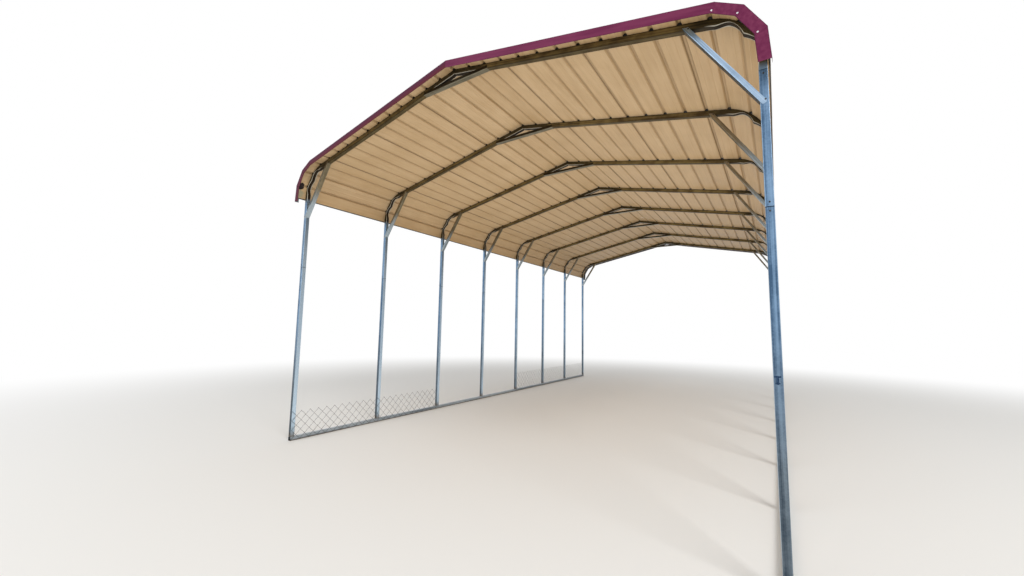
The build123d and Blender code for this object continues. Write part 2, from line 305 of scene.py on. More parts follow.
def weathered_tube_finish():
    """Galvanised steel tube under a roof, its zinc gone dull, and painted brown-grey as painted shade and
    painted reflection of the tan roof. The painted shade is darkest in the corners under the sheets, on the
    crushed walls and under the ridge, with a near black painted shadow in the creases of the crushed walls,
    and the folds of those walls carry a pale painted highlight. The legs, outside the roof's painted shade,
    stay blue-grey like the posts."""
    finish, tree, shader, place = finish_named("weathered_tube")
    unbent = unbent_place(tree)
    beside_middle = add(tree, "Math", {0: unbent["X"]}, operation="ABSOLUTE")
    run = add(tree, "Math", {0: unbent["Z"]}, operation="ABSOLUTE")
    # Streaks 12 mm and patches 160 mm across
    streaks = streaked(tree, place, 0.012, 0.015, 4)
    patches = add(tree, "TexNoise", {"Vector": place, "Scale": 1 / 0.16, "Detail": 5})
    film = add(tree, "Math", {0: streaks, 1: patches}, operation="ADD")
    # Where it is along the bow: past the slope, in the corner before that, by the ridge, on the leg
    eave = add(tree, "MapRange", {0: run, 1: slope_run, 2: slope_run + 0.08})
    corner = add(tree, "MapRange", {0: run, 1: slope_run - 0.22, 2: slope_run - 0.05})
    ridge = add(tree, "MapRange", {0: run, 1: peak_brace_half, 2: peak_brace_half - 0.08})
    leg_top = slope_run + bend_run
    leg = add(tree, "MapRange", {0: run, 1: leg_top, 2: leg_top + 0.05})
    # Where the sides carry the darker painted shade: past the slope, in the corner before it, and under the
    # ridge
    bent = add(tree, "Math", {0: eave, 1: ridge}, operation="MAXIMUM")
    sides = add(tree, "Math", {0: bent, 1: corner}, operation="MAXIMUM")
    sides = add(tree, "Math", {0: sides, 1: 0.7}, operation="MULTIPLY")
    # Where it is on the section
    # Painted shade on the inner wall, along the top corners and on the crushed walls, and a painted shadow in
    # the creases
    top_corner = add(tree, "MapRange", {0: unbent["Y"], 1: 0.018, 2: 0.024})
    inner_wall = add(tree, "MapRange", {0: unbent["Y"], 1: -0.022, 2: -0.0265})
    inner_wall_shade = add(tree, "MapRange", {0: beside_middle, 1: 0.018, 2: 0.026, 3: 0.6, 4: 0.95})
    inner_wall_shade = add(tree, "Math", {0: inner_wall, 1: inner_wall_shade}, operation="MULTIPLY")
    crushed = add(tree, "Math", {0: inner_wall, 1: bent}, operation="MULTIPLY")
    dark = add(tree, "Math", {0: top_corner, 1: crushed}, operation="MAXIMUM")
    crease = add(tree, "Math", {0: beside_middle, 1: 0.016, 2: 0.0035}, operation="COMPARE")
    crease = add(tree, "Math", {0: crease, 1: crushed}, operation="MULTIPLY")
    # A painted highlight along the lowest outer corners of the crushed walls
    outermost = add(tree, "MapRange", {0: beside_middle, 1: 0.0195, 2: 0.0225})
    lowest = add(tree, "MapRange", {0: unbent["Y"], 1: -0.0215, 2: -0.024})
    fold = add(tree, "Math", {0: outermost, 1: lowest}, operation="MULTIPLY")
    fold = add(tree, "Math", {0: fold, 1: bent}, operation="MULTIPLY")
    # The brown-grey is dull zinc with painted shade and painted reflection of the tan roof
    colour = toned(tree, film, 0.78, 1.22, "#4D3F28", "#88784F")
    for share, shade in (
        (sides, "#28251B"), (inner_wall_shade, "#362B18"), (dark, "#2B2013"), (crease, "#0B0907"), (fold, "#B4AE9F"),
        (leg, "#6F8294"),
    ):
        colour = add(tree, "Mix", {0: share, 6: colour, 7: linear(shade)}, data_type="RGBA")
    rough = add(tree, "MapRange", {0: film, 1: 0.78, 2: 1.22, 3: 0.55, 4: 0.4})
    bump = add(tree, "Bump", {"Height": streaks, "Strength": 0.3, "Distance": 0.0006})
    connect(tree, shader, {"Base Color": colour, "Roughness": rough, "Normal": bump})
    connect(tree, shader, {"Metallic": 0.6, "Specular IOR Level": 0.15})
    return finish


def channel_finish(name, web, flanges, painted_sky_reach=0):
    """Galvanised steel channel, pressed from zinc-coated sheet: smoother than the tube, with the fine
    lengthwise lines of the press. The web and the flanges each have their own dark and light, which are
    painted shade and painted reflection for the way each faces. Over that length of the lower end it turns
    pale blue-grey as painted reflection of the sky."""
    finish, tree, shader, place = finish_named(name)
    unbent = unbent_place(tree)
    # Press lines 10 mm apart and patches 90 mm across
    lines = streaked(tree, place, 0.010, 0.02, 3)
    patches = add(tree, "TexNoise", {"Vector": place, "Scale": 1 / 0.09, "Detail": 4})
    mottle = add(tree, "Math", {0: patches, 1: 0.4, 2: lines}, operation="MULTIPLY_ADD")
    on_web, on_flange = (toned(tree, mottle, 0.5, 0.9, *shades) for shades in (web, flanges))
    # The web's and the flanges' own shades: painted shade and painted reflection
    past_corner = add(tree, "MapRange", {0: unbent["Y"], 1: 0.0015, 2: 0.004})
    colour = add(tree, "Mix", {0: past_corner, 6: on_web, 7: on_flange}, data_type="RGBA")
    # Painted reflection of the sky on the lower end
    if painted_sky_reach:
        painted_sky_share = add(tree, "MapRange", {0: unbent["Z"], 1: painted_sky_reach + 0.14, 2: painted_sky_reach - 0.14, 4: 0.85})
        colour = add(tree, "Mix", {0: painted_sky_share, 6: colour, 7: linear("#8E9BA3")}, data_type="RGBA")
    rough = add(tree, "MapRange", {0: mottle, 1: 0.5, 2: 0.9, 3: 0.44, 4: 0.3})
    bump = add(tree, "Bump", {"Height": lines, "Strength": 0.2, "Distance": 0.0004})
    connect(tree, shader, {"Base Color": colour, "Roughness": rough, "Normal": bump, "Metallic": 1})
    return finish


def pale_places(tree, place):
    """How much of the dirt is off at each of the pale marks, which have ragged edges."""
    unbent = add(tree, "Attribute", attribute_name="unbent").outputs["Vector"]
    ragged = add(tree, "TexNoise", {"Vector": place, "Scale": 1 / 0.04, "Detail": 3})
    marks = []
    for run, along, reach in pale_marks:
        away = add(tree, "VectorMath", {0: unbent, 1: (run, 0, along)}, operation="DISTANCE")
        away = add(tree, "Math", {0: ragged, 1: reach, 2: away}, operation="MULTIPLY_ADD")
        marks.append(add(tree, "MapRange", {0: away, 1: 1.8 * reach, 2: 1.2 * reach, 4: 0.7}))
    return marks


def underside_dirt_and_shade(tree, place):
    """The dirt and painted shade on the sheets' underside, as shares and shades: a grey film beside each bow,
    painted shade along the ribs, more dirt in the gaps of the side laps, a painted shadow in the ribs where
    they cross the bows, painted shade along the eave's edge, and pale marks where water or a knock has taken
    the dirt off."""
    unbent = unbent_place(tree)
    run = add(tree, "Math", {0: unbent["X"]}, operation="ABSOLUTE")
    # How far it is to the nearest bow and to the nearest lap
    bow = add(tree, "Math", {0: unbent["Z"], 1: bow_places[0]}, operation="SUBTRACT")
    bow = add(tree, "Math", {0: bow, 1: bow_spacing / 2}, operation="PINGPONG")
    lap = add(tree, "Math", {0: run, 1: -left_laps[1] * rib_pitch}, operation="SUBTRACT")
    lap = add(tree, "Math", {0: lap, 1: sheet_ribs / 2 * rib_pitch}, operation="PINGPONG")
    film = add(tree, "MapRange", {0: bow, 1: 0.10, 2: 0.03, 4: 0.2})
    along = add(tree, "Math", {0: unbent["Z"]}, operation="ABSOLUTE")
    inside = add(tree, "Math", {0: along, 1: bow_places[-1]}, operation="LESS_THAN")
    film = add(tree, "Math", {0: film, 1: inside}, operation="MULTIPLY")
    # Painted shade along the crests of the ribs
    rib_painted_shade = add(tree, "MapRange", {0: unbent["Y"], 1: 0.008, 2: 0.016, 4: 0.34})
    in_lap = add(tree, "Math", {0: lap, 1: 0.0155, 2: 0.0035}, operation="COMPARE")
    raised = add(tree, "MapRange", {0: unbent["Y"], 1: 0.001, 2: 0.006})
    # A painted shadow in the ribs where they pass over each bow
    over_bow = add(tree, "MapRange", {0: bow, 1: 0.034, 2: 0.026})
    rib_gap_painted_shadow = add(tree, "Math", {0: over_bow, 1: raised}, operation="MULTIPLY")
    lapped = add(tree, "Math", {0: in_lap, 1: raised}, operation="MULTIPLY")
    lapped = add(tree, "Math", {0: lapped, 1: 0.5}, operation="MULTIPLY")
    # Painted shade along the eave's lower edge
    edge = add(tree, "MapRange", {0: run, 1: eave_run - 0.016, 2: eave_run - 0.012})
    pale = zip(pale_places(tree, place), ("#8E8E74", "#D8D2C4", "#D8D2C4"))
    return [
        (film, "#A99E8A"), (rib_painted_shade, "#6B5231"), (lapped, "#4A3620"), (rib_gap_painted_shadow, "#21180F"), (edge, "#34302B"),
        *pale,
    ]


def painted_sheet_finish(name, dirt_and_shade=False):
    """Tan polyester paint, roller-coated on both sides of steel sheet at the mill: even and semi-matt, with a
    faint orange peel and dust that lies in streaks along the ribs. On the underside there is dirt and painted
    shade as well."""
    finish, tree, shader, place = finish_named(name)
    # Streaks 50 mm wide and clouds of half a metre
    streaks = streaked(tree, place, 0.05, 0.08, 4)
    clouds = add(tree, "TexNoise", {"Vector": place, "Scale": 1 / 0.5, "Detail": 3})
    dust = add(tree, "Math", {0: streaks, 1: clouds}, operation="ADD")
    colour = toned(tree, dust, 0.7, 1.3, "#B29368", "#C1A47C")
    for share, shade in underside_dirt_and_shade(tree, place) if dirt_and_shade else ():
        colour = add(tree, "Mix", {0: share, 6: colour, 7: linear(shade)}, data_type="RGBA")
    rough = add(tree, "MapRange", {0: dust, 1: 0.7, 2: 1.3, 3: 0.42, 4: 0.58})
    peel = orange_peel(tree, place, 0.08)
    connect(tree, shader, {"Base Color": colour, "Roughness": rough, "Normal": peel, "IOR": 1.5})
    return finish


def painted_trim_finish():
    """Burgundy polyester paint on folded steel trim: satin, and slightly chalky from the sun in streaks along
    it, with painted shade along its fold and its hem. Down the left slope it is darker all over as painted
    shade, browner below."""
    finish, tree, shader, place = finish_named("painted_trim")
    unbent = unbent_place(tree)
    # Streaks 30 mm wide. The shift of the place is below zero on the left slope
    chalk = streaked(tree, place, 0.03, 0.1, 5)
    clean = toned(tree, chalk, 0.35, 0.65, "#602141", "#6D2D4B")
    # Painted shade for the left slope, browner towards the hem
    left_slope_shade = toned(tree, unbent["Y"], 0.35 * trim_depth, 0.7 * trim_depth, "#441A2F", "#501B1F")
    side = add(tree, "SeparateXYZ", {0: place})
    left = add(tree, "MapRange", {0: side.outputs["X"], 1: 0.5, 2: -0.5, 4: 0.8})
    colour = add(tree, "Mix", {0: left, 6: clean, 7: left_slope_shade}, data_type="RGBA")
    # Painted shade along the hem and the fold
    hem = add(tree, "MapRange", {0: unbent["Y"], 1: trim_depth - 0.006, 2: trim_depth - 0.001})
    fold = add(tree, "MapRange", {0: unbent["Y"], 1: 0.005, 2: 0.001})
    hem_fold_shade = add(tree, "Math", {0: hem, 1: fold}, operation="MAXIMUM")
    hem_fold_shade = add(tree, "Math", {0: hem_fold_shade, 1: 0.6}, operation="MULTIPLY")
    colour = add(tree, "Mix", {0: hem_fold_shade, 6: colour, 7: linear("#2E0D20")}, data_type="RGBA")
    rough = add(tree, "MapRange", {0: chalk, 1: 0.35, 2: 0.65, 3: 0.38, 4: 0.5})
    connect(tree, shader, {"Base Color": colour, "Roughness": rough, "Normal": orange_peel(tree, place, 0.1)})
    connect(tree, shader, {"IOR": 1.45, "Specular IOR Level": 0.1})
    return finish


def wash_coat_finish():
    """Grey wash coat, the thin primer rolled on the side of the trim that is meant to be hidden: dull, and
    thinner and darker in streaks along the roller's way, 20 mm wide."""
    finish, tree, shader, place = finish_named("wash_coat")
    streaks = streaked(tree, place, 0.02, 0.06, 4)
    colour = toned(tree, streaks, 0.35, 0.65, "#5B6165", "#757A7D")
    rough = add(tree, "MapRange", {0: streaks, 1: 0.35, 2: 0.65, 3: 0.5, 4: 0.62})
    connect(tree, shader, {"Base Color": colour, "Roughness": rough, "IOR": 1.5})
    return finish


def dried_mud_finish():
    """Dried mud, stuck on in pellets of 6 mm: dull, near black between them and browner on their tops."""
    finish, tree, shader, place = finish_named("dried_mud")
    pellets = add(tree, "TexVoronoi", {"Vector": place, "Scale": 1 / 0.006})
    colour = toned(tree, pellets, 0.1, 0.7, "#2A1710", "#120907")
    bump = add(tree, "Bump", {"Height": pellets, "Strength": 0.7, "Distance": 0.002}, invert=True)
    connect(tree, shader, {"Base Color": colour, "Normal": bump, "Roughness": 0.9})
    return finish


def zinc_plated_finish(name, dark, light):
    """Zinc-plated steel, as of screws and woven wire: a thin bright plating that has gone dull in patches."""
    finish, tree, shader, place = finish_named(name)
    dull = add(tree, "TexNoise", {"Vector": place, "Scale": 1 / 0.006, "Detail": 3})
    colour = toned(tree, dull, 0.35, 0.65, dark, light)
    rough = add(tree, "MapRange", {0: dull, 1: 0.35, 2: 0.65, 3: 0.6, 4: 0.4})
    connect(tree, shader, {"Base Color": colour, "Roughness": rough, "Metallic": 1})
    return finish


def rounded(corners, radius, steps=3, closed=False):
    """A line through the corners, each of them rounded."""
    line = []
    for index, corner in enumerate(corners):
        here = Vector(corner)
        if not closed and index in (0, len(corners) - 1):
            line.append(here)
            continue
        before = Vector(corners[index - 1]) - here
        after = Vector(corners[(index + 1) % len(corners)]) - here
        half = before.angle(after) / 2
        reach = min(radius / tan(half), 0.49 * before.length, 0.49 * after.length)
        fitted = reach * tan(half)
        before.normalize()
        after.normalize()
        centre = here + (before + after).normalized() * (fitted / sin(half))
        start, end = here + before * reach - centre, here + after * reach - centre
        for step in range(steps + 1):
            line.append(centre + start.slerp(end, step / steps).normalized() * fitted)
    return line


def beside(line, distance, closed=False):
    """The line at that distance to the left of another."""
    moved = []
    for index, here in enumerate(line):
        before = line[index - 1] if closed or index else None
        after = line[(index + 1) % len(line)] if closed or index + 1 < len(line) else None
        sides = []
        for start, end in ((before, here), (here, after)):
            if start is not None and end is not None:
                way = (end - start).normalized()
                sides.append(Vector((-way.y, way.x)))
        across = sides[0] + sides[-1]
        moved.append(here + across * (2 * distance / across.length_squared))
    return moved


def divided(line, longest):
    """The line with points added so that no run of it is longer than that."""
    points = [line[0]]
    for start, end in zip(line, line[1:]):
        parts = max(1, round((end - start).length / longest + 0.49))
        points += [start.lerp(end, part / parts) for part in range(1, parts + 1)]
    return points


def swept(lines, stations, place, closed=False, shift=0):
    """A wall between the outer and the inner line of a section, carried along the stations. The place of each
    point, bent and unbent, is worked out from its number in its line, the point there and the station. The
    shift keeps the patterns of its finish apart from its neighbours'."""
    rings, width = len(stations), len(lines[0])
    turns = width if closed else width - 1
    placed = [
        place(number, p, station)
        for line in lines
        for station in stations
        for number, p in enumerate(line)
    ]

    def at(skin, ring, turn):
        return (skin * rings + ring) * width + turn % width

    faces, reverse = [], []
    for ring in range(rings - 1):
        for turn in range(turns):
            corners = ((ring, turn), (ring, turn + 1), (ring + 1, turn + 1), (ring + 1, turn))
            faces.append([at(0, *corner) for corner in corners])
            reverse.append([at(1, *corner) for corner in (corners[0], *corners[:0:-1])])
    for ring in (0, rings - 1):
        for turn in range(turns):
            faces.append((at(0, ring, turn), at(1, ring, turn), at(1, ring, turn + 1), at(0, ring, turn + 1)))
    for turn in () if closed else (0, width - 1):
        for ring in range(rings - 1):
            faces.append((at(0, ring, turn), at(0, ring + 1, turn), at(1, ring + 1, turn), at(1, ring, turn)))
    return [point for point, _ in placed], faces, reverse, [unbent for _, unbent in placed], shift


def round_faces(rings, sides):
    """The faces round a form made of rings of points, and the one over its first ring."""
    faces = [tuple(range(sides - 1, -1, -1))]
    for first in range(0, (rings - 1) * sides, sides):
        for turn in range(sides):
            after = (turn + 1) % sides
            faces.append((first + turn, first + after, first + sides + after, first + sides + turn))
    return faces


def make_piece(name, parts, finishes, stands_for=(), crease=35):
    """Join the parts into one piece of the object. The finishes are that of its outside, and of its reverse
    where it differs."""
    points, faces, sides, unbent, own = [], [], [], [], []
    for part_points, outside, reverse, part_unbent, shift in parts:
        first = len(points)
        points += part_points
        unbent += [value for point in part_unbent for value in point]
        own += [value + shift for point in part_unbent for value in point]
        for side, side_faces in enumerate((outside, reverse)):
            faces += [[first + corner for corner in face] for face in side_faces]
            sides += [min(side, len(finishes) - 1)] * len(side_faces)
    mesh = bpy.data.meshes.new(name)
    mesh.from_pydata(points, [], faces)
    mesh.polygons.foreach_set("material_index", sides)
    built = bmesh.new()
    built.from_mesh(mesh)
    bmesh.ops.recalc_face_normals(built, faces=built.faces)
    built.to_mesh(mesh)
    built.free()
    for label, values in (("unbent", unbent), ("own_place", own)):
        mesh.attributes.new(label, "FLOAT_VECTOR", "POINT").data.foreach_set("vector", values)
    mesh.shade_smooth()
    mesh.set_sharp_from_angle(angle=radians(crease))
    for finish in finishes:
        mesh.materials.append(finish)
    piece = bpy.data.objects.new(name, mesh)
    bpy.context.scene.collection.objects.link(piece)
    weighted = piece.modifiers.new("flat_sides", "WEIGHTED_NORMAL")
    weighted.keep_sharp = True
    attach(piece, "root")
    if stands_for:
        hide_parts(*stands_for)


def tube_section():
    """The outer and inner lines of the square tube, about its middle."""
    half = tube / 2
    outer = rounded([(-half, -half), (half, -half), (half, half), (-half, half)], tube_corner, 4, closed=True)
    return outer, beside(outer, tube_wall, closed=True)


def straight_tube(start, end, over, shift, begins=0):
    """A length of tube from one point to another, whose unbent length begins at that height."""

    def place(_, p, station):
        point, along = station
        return point + x_way * p.x + over * p.y, (p.x, p.y, begins + along)

    stations = ((start, 0), (end, (end - start).length))
    return swept(tube_section(), stations, place, closed=True, shift=shift)


def roof_point(run, height):
    """The point that far along a bow's top line from the ridge and that high above it, from the front."""
    side = -1 if run < 0 else 1
    run = abs(run)
    if run <= slope_run:
        x = run * cos(pitch_angle) + height * sin(pitch_angle)
        z = peak_height - run * sin(pitch_angle) + height * cos(pitch_angle)
    elif run <= slope_run + bend_run:
        angle = pitch_angle + (run - slope_run) / bend_outer
        x = bend_x + (bend_outer + height) * sin(angle)
        z = bend_z + (bend_outer + height) * cos(angle)
    else:
        x = half_width + height
        z = bend_z - (run - slope_run - bend_run)
    return (side * x, z)


def base_rails():
    """Square tube on the ground along each side."""
    for side, sign in (("left", -1), ("right", 1)):
        start, end = (Vector((sign * post_x, y, rail_top / 2)) for y in (-half_length, half_length))
        rail = straight_tube(start, end, z_way, 7 + sign)
        make_piece(f"rail_{side}", [rail], [rail_tube], [f"base_rail_{side}"])


def posts():
    """The left and the right post at each bow, each of two lengths."""
    for number, place in enumerate(bow_places, 1):
        lengths = []
        for sign in (-1, 1):
            for foot, head in ((rail_top + seam, post_splice), (post_splice + seam, post_top)):
                start, end = Vector((sign * post_x, place, foot)), Vector((sign * post_x, place, head))
                lengths.append(straight_tube(start, end, y_way, number + 20 * sign + foot, foot))
        make_piece(f"post_pair_{number}", lengths, [post_tube], [f"posts_{number}"])


def press(angle):
    """How far the inner wall of an eave bend is pressed in, at an angle from the vertical in degrees."""
    first, second = crush_angles
    ridge = (first + second) / 2
    nearest = first if angle < ridge else second
    off = abs(angle - nearest)
    if (angle - nearest) * (ridge - nearest) > 0:
        return crush_ridge + (crush_depth - crush_ridge) * cos(pi / 2 * off / abs(ridge - nearest))
    return crush_depth * (0.5 + 0.5 * cos(pi * min(1, off / crush_margin)))


def bow_stations():
    """Places along a bow from its right foot over the ridge to its left one: run, press, and the share by
    which its section leans with the slope."""
    half = [(slope_run + bend_run + bend_z - post_top - seam, 0, 1)]
    for step in range(bend_steps + 1):
        angle = 90 - (90 - degrees(pitch_angle)) * step / bend_steps
        half.append((slope_run + radians(angle - degrees(pitch_angle)) * bend_outer, press(angle), 1))
    half += [(slope_run / 2, 0, 1), (2 * peak_round, 0, 1)]
    for step in range(peak_steps):
        lean = 1 - step / peak_steps
        half.append((peak_round * lean, peak_crush * (0.5 + 0.5 * cos(pi * lean)), lean))
    return half + [(0, peak_crush, 0)] + [(-run, pressed, lean) for run, pressed, lean in half[::-1]]


def bow_point(station, deep):
    """The point that deep under a bow's top line."""
    run, _, lean = station
    if abs(run) >= peak_round:
        return roof_point(run, -deep)
    side = -1 if run < 0 else 1
    dip = (peak_round / 2 + run * run / (2 * peak_round)) * sin(pitch_angle)
    return (
        run * cos(pitch_angle) - side * deep * sin(pitch_angle * lean),
        peak_height - dip - deep * cos(pitch_angle * lean),
    )


def bow(number, place):
    """The bow with that number, at its place along the ridge."""

    def crushed(_, p, station):
        run, pressed, _ = station
        deep = (tube / 2 - p.y) * (tube - pressed) / tube
        middle = 1 - (2 * p.x / tube) ** 2
        deep -= crush_fold * pressed / crush_depth * middle * max(0, -2 * p.y / tube) ** 4
        bulge = crush_bulge * pressed / crush_depth * (1 - (2 * p.y / tube) ** 2)
        x, z = bow_point(station, deep)
        return Vector((x, place + p.x + (bulge if p.x > 0 else -bulge), z)), (p.x, p.y, run)

    return swept(tube_section(), bow_stations(), crushed, closed=True, shift=number)


def bows():
    """Square tube bent at both eaves and at the ridge, its inner wall crushed in at the bends."""
    for number, place in enumerate(bow_places, 1):
        bent = [bow(number, place)]
        make_piece(f"bent_bow_{number}", bent, [weathered_tube], [f"bow_{number}"])


def channel(origin, along, deep, starts, ends, shift):
    """A channel with its web through the origin, whose ends are given for each point of its section."""
    corners = [(-brace_half, brace_depth), (-brace_half, 0), (brace_half, 0), (brace_half, brace_depth)]
    outer = divided(rounded(corners, brace_corner, 3), brace_run)

    def place(number, p, share):
        start, end = starts(outer[number]), ends(outer[number])
        run = start + (end - start) * share
        return origin + y_way * p.x + deep * p.y + along * run, (p.x, p.y, run)

    return swept((outer, beside(outer, brace_wall)), (0, 0.5, 1), place, shift=shift)


def knee_braces():
    """Channels that lap the front and back of the post and the bow, web on the inner side. The front right
    one has the pale blue of painted sky reflection, the others the brown-grey of painted shade and painted
    reflection of the roof."""

    def on_flange(p):
        return max(0, min(1, (abs(p.x) - brace_half + brace_corner) / brace_corner))

    def starts(p):
        short = min(1, max(0, knee_tip_radius - p.y, p.y - brace_depth + knee_tip_radius) / knee_tip_radius)
        flange = -knee_post_lap + knee_tip_radius * (1 - sqrt(1 - short * short))
        web = seam / cos(knee_rise)
        return web + (flange - web) * on_flange(p)

    def ends(p):
        flange = knee_length + knee_bow_lap / sin(knee_cut) - p.y / tan(knee_cut)
        web = knee_length - seam / sin(knee_cut)
        return web + (flange - web) * on_flange(p)

    for number, place in enumerate(bow_places, 1):
        pair = []
        for sign in (-1, 1):
            origin = Vector((sign * post_face, place, knee_foot_z))
            along = Vector((-sign * cos(knee_rise), 0, sin(knee_rise)))
            deep = Vector((sign * sin(knee_rise), 0, cos(knee_rise)))
            points, outside, reverse, *rest = channel(origin, along, deep, starts, ends, number + 9 * sign)
            # All but the front right one take the finish with painted shade
            if (number, sign) != (1, 1):
                outside, reverse = [], outside + reverse
            pair.append((points, outside, reverse, *rest))
        names = (f"knee_brace_pair_{number}", f"knee_braces_{number}")
        make_piece(names[0], pair, [brace_painted_sky, brace_painted_shade], [names[1]])


def peak_braces():
    """Level channels under the ridge, open at the top, that lap both sides of the bow."""
    channels = []
    for number, place in enumerate(bow_places, 1):
        origin = Vector((0, place, peak_brace_z))
        channels.append(
            channel(origin, x_way, z_way, lambda p: -peak_brace_half, lambda p: peak_brace_half, number)
        )
    make_piece("peak_channels", channels, [ridge_brace], ["peak_braces"])


def rib(place, edge=0, lapping=False):
    """Corners of a rib's underside along the roof. Its sheet ends there on the low side where edge is -1, and
    on the high side where it is 1, over the next sheet's rib or under it."""
    foot, crest = rib_base / 2, rib_top / 2
    corners = [(-foot, 0), (-crest, rib_height), (crest, rib_height), (foot, 0)]
    if edge and lapping:
        foot, crest = foot + spread + lap_slack, crest + spread + lap_slack
        tip = foot - (foot - crest) * (sheet + lap_drip) / lap_height
        corners = [(-tip, sheet + lap_drip), (-crest, lap_height), (crest, lap_height), (foot, 0)]
    elif edge:
        corners[0] = (-(foot + crest) / 2, rib_height / 2)
    if edge == 1:
        corners = [(-u, height) for u, height in corners[::-1]]
    return [(place * rib_pitch + u, height) for u, height in corners]


def beads(place):
    """Corners of the two stiffening beads in the pan after a rib."""
    middle = (place + 0.5) * rib_pitch
    corners = []
    for bead in (middle - bead_spread, middle + bead_spread):
        corners += [(bead - bead_base / 2, 0), (bead - bead_top / 2, bead_height)]
        corners += [(bead + bead_top / 2, bead_height), (bead + bead_base / 2, 0)]
    return corners


def lift(run, y):
    """How far a pan lifts off its line there: nothing at the bows and past the end ones, and between them a
    little more or less every 0.2 m across the roof and every 0.6 m along it."""
    bay = (y - bow_places[0]) / bow_spacing
    if not 0 < bay < bow_count - 1:
        return 0
    return sheet_wave * sin(pi * bay) ** 2 * (0.5 + 0.5 * noise.noise(Vector((run * 5, y * 1.6, 3))))


def flare(run):
    """How far the sheet stands off the line of the bows there, near its lower edge."""
    share = max(0, 1 - (eave_run - abs(run)) / lip_run)
    return lip_flare * share * share * (3 - 2 * share)


def roof_sheet(name, node, low, high, low_lapping=False, high_lapping=False):
    """A sheet from one rib to another, lapping over the next sheet's rib or under it. From the last rib on
    either side it runs on to the eave's edge."""
    corners = []
    for place in range(low, high + 1):
        edge = (place == high) - (place == low) if abs(place) < last_rib else 0
        corners += rib(place, edge, low_lapping if edge < 0 else high_lapping)
        if place < high:
            corners += beads(place)
    if low == -last_rib:
        corners = [(-eave_run, lip_turn), (lip_strip - eave_run, 0)] + corners
    if high == last_rib:
        corners += [(eave_run - lip_strip, 0), (eave_run, lip_turn)]
    under = divided(rounded(corners, rib_radius, 2), pan_run)
    bays = round(2 * roof_end / sheet_step)

    def place_on_roof(number, p, y):
        off = lift(under[number].x, y) + flare(under[number].x)
        x, z = roof_point(p.x, seam + p.y + off)
        return Vector((x, y, z)), (p.x, p.y, y)

    stations = [sheet_end * (2 * bay / bays - 1) for bay in range(bays + 1)]
    laid = swept((beside(under, sheet), under), stations, place_on_roof)
    make_piece(name, [laid], [painted_sheet, sheet_underside], [node], crease=50)


def roof_sheets():
    """The sheet over the ridge, the full and half sheets beside it, and the sheets round the eaves."""
    roof_sheet("ribbed_sheet_ridge", "ridge_sheet", left_laps[1], left_laps[0], True, True)
    for side, way, laps in (("left", -1, left_laps[1:]), ("right", 1, right_laps)):
        for order, ends in enumerate(zip(laps, laps[1:]), 1):
            names = (f"ribbed_sheet_{side}_{order}", f"roof_sheet_{side}_{order}")
            roof_sheet(*names, *sorted(ends), way < 0, way > 0)
    roof_sheet("ribbed_sheet_eave_right", "eave_sheet_right", eave_lap, last_rib)
    roof_sheet("ribbed_sheet_eave_left", "eave_sheet_left", -last_rib, -eave_lap)


def trim_corners(height):
    """Corners of the trim from the ridge to its end, that high above the bow's top line."""
    directions = [degrees(pitch_angle), *trim_facets]
    line = [Vector((seam / 2, peak_height + height / cos(pitch_angle) - roof_pitch * seam / 2))]
    for before, after in zip(directions, directions[1:]):
        reach = (bend_outer + height) / cos(radians((after - before) / 2))
        middle = radians((before + after) / 2)
        line.append(Vector((bend_x + reach * sin(middle), bend_z + reach * cos(middle))))
    end = bend_z - trim_leg
    return line + [Vector((line[-1].x + (line[-1].y - end) / tan(radians(directions[-1])), end))]


def trim_part(facet, out, way):
    """One straight part of a trim, tucked behind the one before and with a flap on the next one's face."""
    hem = [(0, trim_depth), (hem_gap, trim_depth), (hem_gap, trim_depth - trim_hem)]
    line = rounded([(trim_flange, 0), (0, 0), *hem], trim_fold, 2)
    tuck = facet * trim_wall

    def place(number, p, last):
        start, stop = trim_corners(trim_top - p.y - tuck / 2)[facet : facet + 2]
        flap = trim_flap * line[number].y / trim_depth if facet < trim_parts - 1 else 0
        point = stop + (stop - start).normalized() * flap if last else start
        y = out * (trim_face - tuck - p.x)
        return Vector((way * point.x, y, point.y)), (p.x, p.y, trim_length * last)

    return swept((line, beside(line, -trim_wall)), (0, 1), place, shift=facet + trim_parts * way)


def gable_trims():
    """Folded angle over the sheets' ends: a hemmed face and a flange, bent in facets round each eave, where
    the face of each part laps the next."""
    for end, out in (("front", -1), ("back", 1)):
        for side, way in (("left", -1), ("right", 1)):
            parts = [trim_part(facet, out, way) for facet in range(trim_parts)]
            node = f"gable_trim_{end}_{side}"
            make_piece(f"rake_trim_{end}_{side}", parts, [painted_trim, trim_reverse], [node])


def screw(place, out):
    """A self-drilling screw's head on a surface: a flanged washer under a hexagon."""
    out = out.normalized()
    across = out.orthogonal().normalized()
    over = out.cross(across)
    head = head_across / sqrt(3)
    rings = [
        (washer_radius, 0, 12), (washer_radius, washer_height * 0.6, 12),
        (head_across * 0.62, washer_height, 12), (head, washer_height, 6),
        (head, washer_height + head_height * 0.8, 6), (head_across * 0.44, washer_height + head_height, 6),
    ]
    points = []
    for radius, height, sides in rings:
        for turn in range(12):
            angle = 2 * pi * turn / 12
            reach = radius * cos(pi / 6) if sides == 6 and turn % 2 else radius
            points.append(place + (across * cos(angle) + over * sin(angle)) * reach + out * height)
    faces = round_faces(len(rings), 12)
    faces.append(tuple(range(len(points) - 12, len(points))))
    return points, faces, [], points, 0


